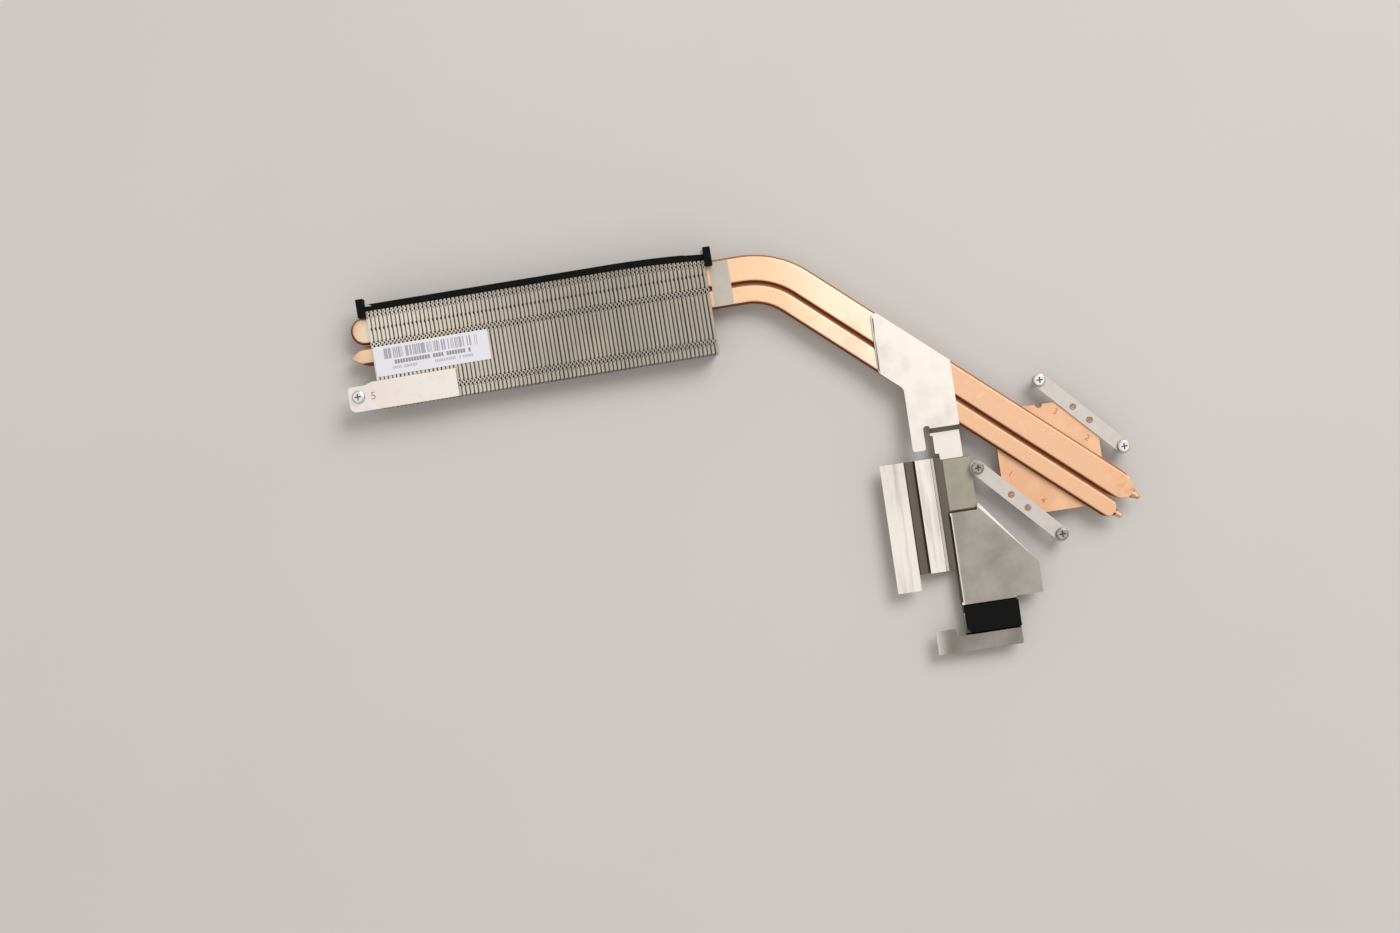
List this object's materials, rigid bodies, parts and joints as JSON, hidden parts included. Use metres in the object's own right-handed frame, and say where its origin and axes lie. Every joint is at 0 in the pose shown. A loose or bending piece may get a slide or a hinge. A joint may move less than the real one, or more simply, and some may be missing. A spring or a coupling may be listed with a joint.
{
  "type": "flat heat pipe cooling module",
  "caption": "Two flattened copper heat pipes join a copper contact plate with spring arms to a stack of zipped aluminium fins, with a stepped nickel-plated plate beside them.",
  "frame": {"origin": "centre of the contact face, on the underside of the contact plate", "axes": "+X along the board, from the fin stack to the contact plate; +Y towards the fins' far edge; +Z away from the board, up through the screw heads"},
  "size_m": [0.3069, 0.1753, 0.0145],
  "materials": {
    "copper_pipe": "satin",
    "copper_plate": "satin",
    "fin_aluminium": "satin",
    "arm_steel": "satin",
    "rivet_copper": "satin",
    "nickel_screw": "polished",
    "dull_screw": "satin",
    "clip_steel": "satin",
    "nickel_sheet": "satin",
    "pad_film": "matt",
    "black_foam": "matt",
    "grey_tape": "matt",
    "label_paper": "matt"
  },
  "bodies": {
    "module": {"wide_heat_pipe": "copper_pipe", "narrow_heat_pipe": "copper_pipe", "contact_plate": "copper_plate", "fin_stack": "fin_aluminium", "upper_spring_arm": "arm_steel", "lower_spring_arm": "arm_steel", "arm_rivets": "rivet_copper", "pipe_bracket": "nickel_sheet", "stepped_plate": "nickel_sheet", "insulating_pad": "pad_film", "recess_foam": "black_foam", "screw_plate": "nickel_sheet", "foam_seal": "black_foam", "left_foam_block": "black_foam", "right_foam_block": "black_foam", "pipe_tape": "grey_tape", "label": "label_paper"},
    "screw_1_body": {"screw_1": "dull_screw", "screw_1_clip": "clip_steel"},
    "screw_2_body": {"screw_2": "nickel_screw", "screw_2_clip": "clip_steel"},
    "screw_3_body": {"screw_3": "nickel_screw", "screw_3_clip": "clip_steel"},
    "screw_4_body": {"screw_4": "dull_screw", "screw_4_clip": "clip_steel"},
    "screw_5_body": {"screw_5": "nickel_screw", "screw_5_clip": "clip_steel"}
  },
  "joints": [
    {"name": "screw_1_turn", "type": "hinge", "parent": "module", "child": "screw_1_body", "pos_m": [-0.0296, 0, -0.001], "axis": [0, 0, 1], "continuous": true},
    {"name": "screw_2_turn", "type": "hinge", "parent": "module", "child": "screw_2_body", "pos_m": [0.0296, 0, -0.001], "axis": [0, 0, 1], "continuous": true},
    {"name": "screw_3_turn", "type": "hinge", "parent": "module", "child": "screw_3_body", "pos_m": [0, 0.0312, -0.001], "axis": [0, 0, 1], "continuous": true},
    {"name": "screw_4_turn", "type": "hinge", "parent": "module", "child": "screw_4_body", "pos_m": [0, -0.0312, -0.001], "axis": [0, 0, 1], "continuous": true},
    {"name": "screw_5_turn", "type": "hinge", "parent": "module", "child": "screw_5_body", "pos_m": [-0.26989, 0.06435, 0.0045], "axis": [0, 0, 1], "continuous": true}
  ]
}
